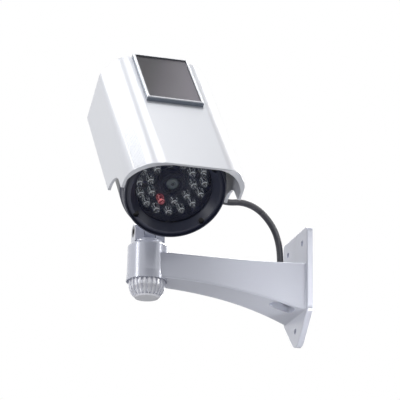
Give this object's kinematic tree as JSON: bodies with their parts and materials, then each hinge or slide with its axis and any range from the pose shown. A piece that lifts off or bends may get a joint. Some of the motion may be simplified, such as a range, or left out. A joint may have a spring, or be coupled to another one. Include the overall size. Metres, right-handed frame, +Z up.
{
  "type": "solar security camera",
  "caption": "Bullet security camera with a hood, a solar panel on its roof and a round lamp-ringed lens window, on a tilting swivel at the end of a hollow wall bracket.",
  "frame": {"origin": "middle of the wall plate's back face, on the web across the arm's mouth", "axes": "+Y straight into the wall, +Z up, +X to the side the head looks to at rest; the arm reaches out along -Y"},
  "size_m": [0.1603, 0.1663, 0.2119],
  "materials": {
    "bracket_paint": "silver metallic paint, satin",
    "knob_silver": "silver moulded, satin",
    "hood_paint": "pearl white paint, gloss",
    "charcoal_paint": "charcoal powder coat, satin",
    "smoked_glass": "polished",
    "clear_resin": "polished",
    "red_resin": "polished",
    "lens_coating": "coated",
    "black_plastic": "matt",
    "board_green": "solder mask",
    "screw_steel": "turned",
    "black_steel": "black oxide",
    "insert_brass": "turned",
    "cord_rubber": "satin",
    "seal_rubber": "matt",
    "nylon": "moulded",
    "cell_wrap": "plain sleeve, gloss",
    "spring_nickel": "nickel plated",
    "frame_silver": "anodised",
    "solar_silicon": "dark film",
    "cover_glass": "polished"
  },
  "bodies": {
    "bracket": {"wall_bracket": "bracket_paint", "arm_grommet": "seal_rubber", "cord": "cord_rubber"},
    "swivel": {"swivel_clevis": "bracket_paint", "friction_washer": "nylon", "pan_stud": "screw_steel", "tilt_bolt": "black_steel", "tilt_nut": "screw_steel"},
    "clamp_washer_body": {"clamp_washer": "screw_steel"},
    "knob": {"clamp_knob": "knob_silver", "knob_insert": "insert_brass"},
    "head": {"head_foot": "bracket_paint", "foot_screws": "screw_steel", "housing_barrel": "charcoal_paint", "cord_gland": "seal_rubber", "rear_cap": "charcoal_paint", "cap_screws": "screw_steel", "cap_seal": "seal_rubber", "front_bezel": "charcoal_paint", "bezel_screws": "black_steel", "front_window": "smoked_glass", "window_seal": "seal_rubber", "lamp_board": "board_green", "board_posts": "nylon", "board_screws": "screw_steel", "clear_lamps": "clear_resin", "warning_lamp": "red_resin", "lens_barrel": "black_plastic", "lens_ring": "black_plastic", "lens_glass": "lens_coating", "battery_tray": "black_plastic", "battery_cell": "cell_wrap", "contact_plate": "spring_nickel", "contact_spring": "spring_nickel", "power_board": "board_green", "hood": "hood_paint", "hood_pads": "nylon", "solar_frame": "frame_silver", "solar_cell": "solar_silicon", "solar_cover": "cover_glass"}
  },
  "joints": [
    {"name": "pan_turn", "type": "hinge", "parent": "bracket", "child": "swivel", "pos_m": [0, -0.121, 0.025], "axis": [0, 0, 1], "range_deg": [-90, 15], "deforming": ["cord"]},
    {"name": "tilt_turn", "type": "hinge", "parent": "swivel", "child": "head", "pos_m": [0, -0.121, 0.035], "axis": [0, 1, 0], "range_deg": [-60, 25], "deforming": ["cord"]},
    {"name": "knob_travel", "type": "slide", "parent": "bracket", "child": "clamp_washer_body", "axis": [0, 0, -1], "range_m": [0, 0.00187]},
    {"name": "knob_turn", "type": "hinge", "parent": "clamp_washer_body", "child": "knob", "pos_m": [0, -0.121, -0.009], "axis": [0, 0, -1], "range_deg": [0, 540.1]}
  ],
  "couplings": [
    {"joint": "knob_turn", "follows": "knob_travel", "rad_per_m": 5026.5}
  ]
}
